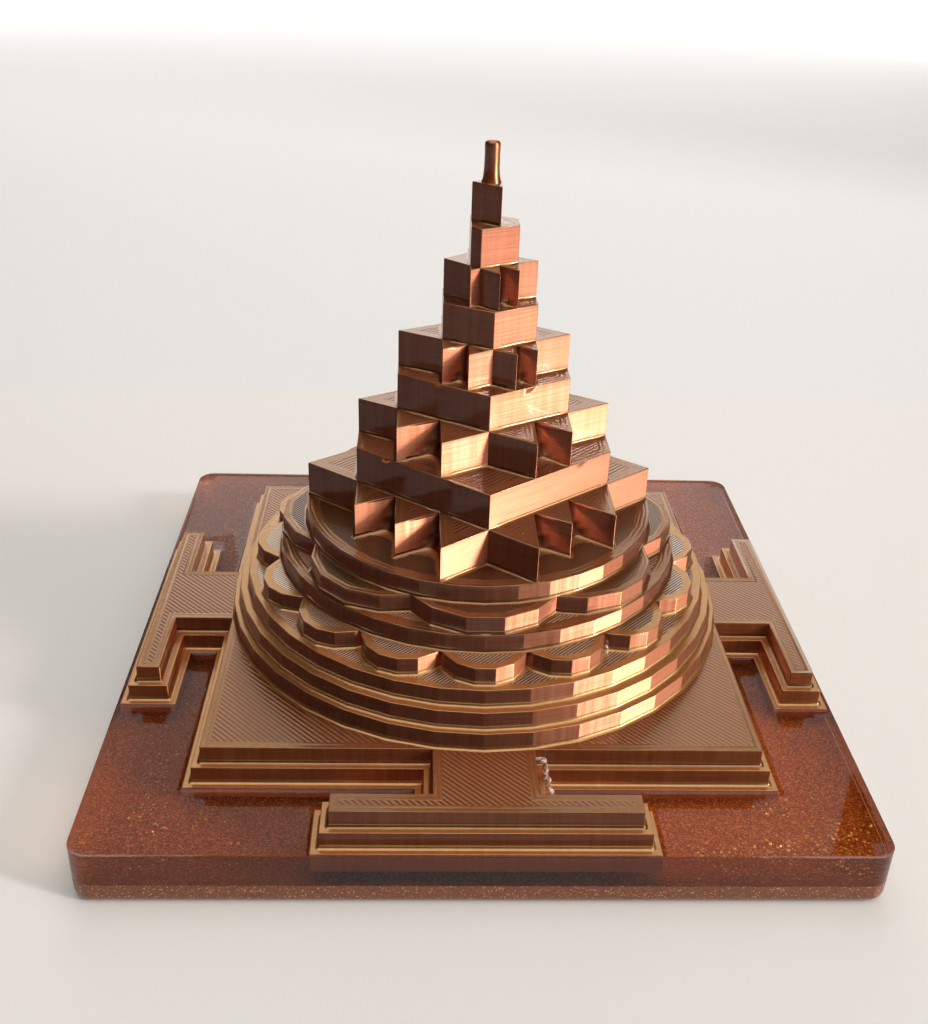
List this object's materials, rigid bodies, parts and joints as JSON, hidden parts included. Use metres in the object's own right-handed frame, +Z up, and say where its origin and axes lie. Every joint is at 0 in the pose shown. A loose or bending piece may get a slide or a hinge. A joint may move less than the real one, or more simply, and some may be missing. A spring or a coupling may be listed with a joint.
{
  "type": "meru shri yantra",
  "caption": "Stepped tower of the shri yantra drawing, from square with gates through lotus rings to a pin on top, its foot cast into a square two-pour resin slab.",
  "frame": {"origin": "centre of the slab's rest face", "axes": "+Z up along the tower's axis, +X toward the head of the yantra drawing, the picture is taken from -Y"},
  "size_m": [0.075, 0.075, 0.0606],
  "materials": {
    "resin_glitter": "epoxy full of fine copper glitter, glossy",
    "resin_clear": "brown tinted clear epoxy with a few gold flecks, glossy",
    "print_copper": "copper silk filament print under a thin glossy resin coat",
    "print_copper_light": "copper silk filament print under a thin glossy resin coat"
  },
  "bodies": {
    "root": {"resin_glitter_pour": "resin_glitter", "resin_clear_pour": "resin_clear", "bhupura_step_1": "print_copper", "bhupura_step_2": "print_copper", "bhupura_step_3": "print_copper", "trivritta_ring_1": "print_copper", "trivritta_ring_2": "print_copper", "trivritta_ring_3": "print_copper", "disc_under_8_petals": "print_copper", "disc_under_star": "print_copper", "platform_1": "print_copper", "platform_2": "print_copper", "platform_3": "print_copper", "platform_4": "print_copper", "lotus_16_petals": "print_copper_light", "lotus_8_petals": "print_copper_light", "star_14_points": "print_copper_light", "star_10_points_outer": "print_copper_light", "star_10_points_inner": "print_copper_light", "star_8_points": "print_copper_light", "central_triangle": "print_copper_light", "bindu": "print_copper_light"}
  },
  "joints": []
}
